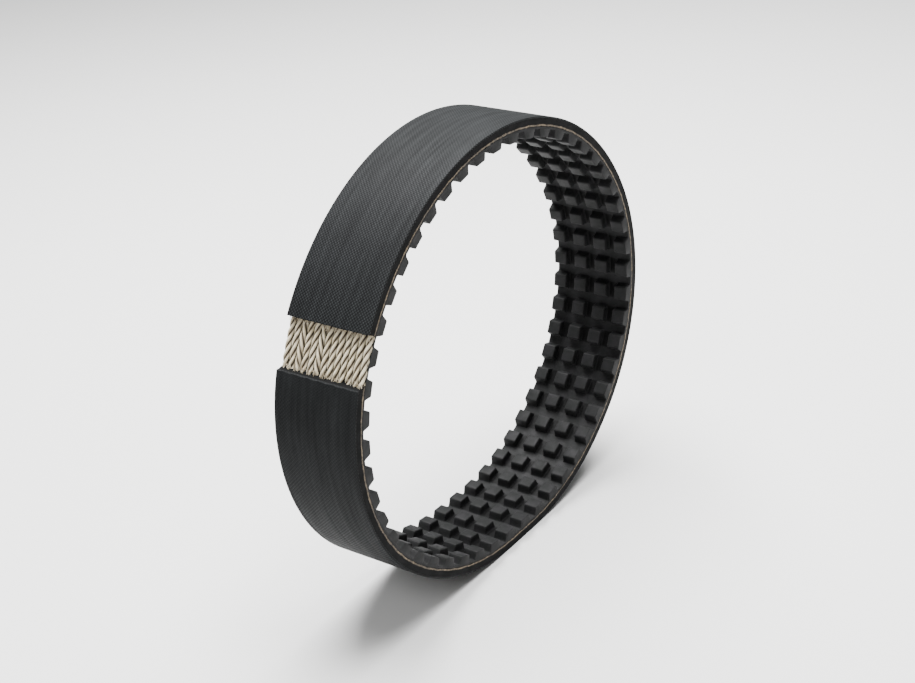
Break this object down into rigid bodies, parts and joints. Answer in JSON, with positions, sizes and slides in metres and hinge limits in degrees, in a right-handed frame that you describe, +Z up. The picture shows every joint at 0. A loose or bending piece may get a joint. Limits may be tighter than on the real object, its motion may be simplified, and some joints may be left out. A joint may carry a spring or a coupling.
{
  "type": "timing belt",
  "caption": "Wide endless timing belt with block-split trapezoidal teeth, twisted tension cords and a woven back cover, cut open at one window that shows the cords.",
  "frame": {"origin": "centre of the whole belt's box, on the belt's loop axis line", "axes": "+X along the floor across the loop, +Y across the belt's width, +Z up; the teeth point in"},
  "size_m": [0.1734, 0.032, 0.1558],
  "materials": {
    "cover_fabric": "dark woven cloth",
    "backing_rubber": "matte",
    "tooth_rubber": "matte",
    "tension_cord": "twisted cream yarn"
  },
  "bodies": {
    "belt": {"back_cover": "cover_fabric", "backing_rubber": "backing_rubber", "tooth_layer": "tooth_rubber", "tension_cord_01": "tension_cord", "tension_cord_02": "tension_cord", "tension_cord_03": "tension_cord", "tension_cord_04": "tension_cord", "tension_cord_05": "tension_cord", "tension_cord_06": "tension_cord", "tension_cord_07": "tension_cord", "tension_cord_08": "tension_cord", "tension_cord_09": "tension_cord", "tension_cord_10": "tension_cord", "tension_cord_11": "tension_cord", "tension_cord_12": "tension_cord", "tension_cord_13": "tension_cord"}
  },
  "joints": []
}
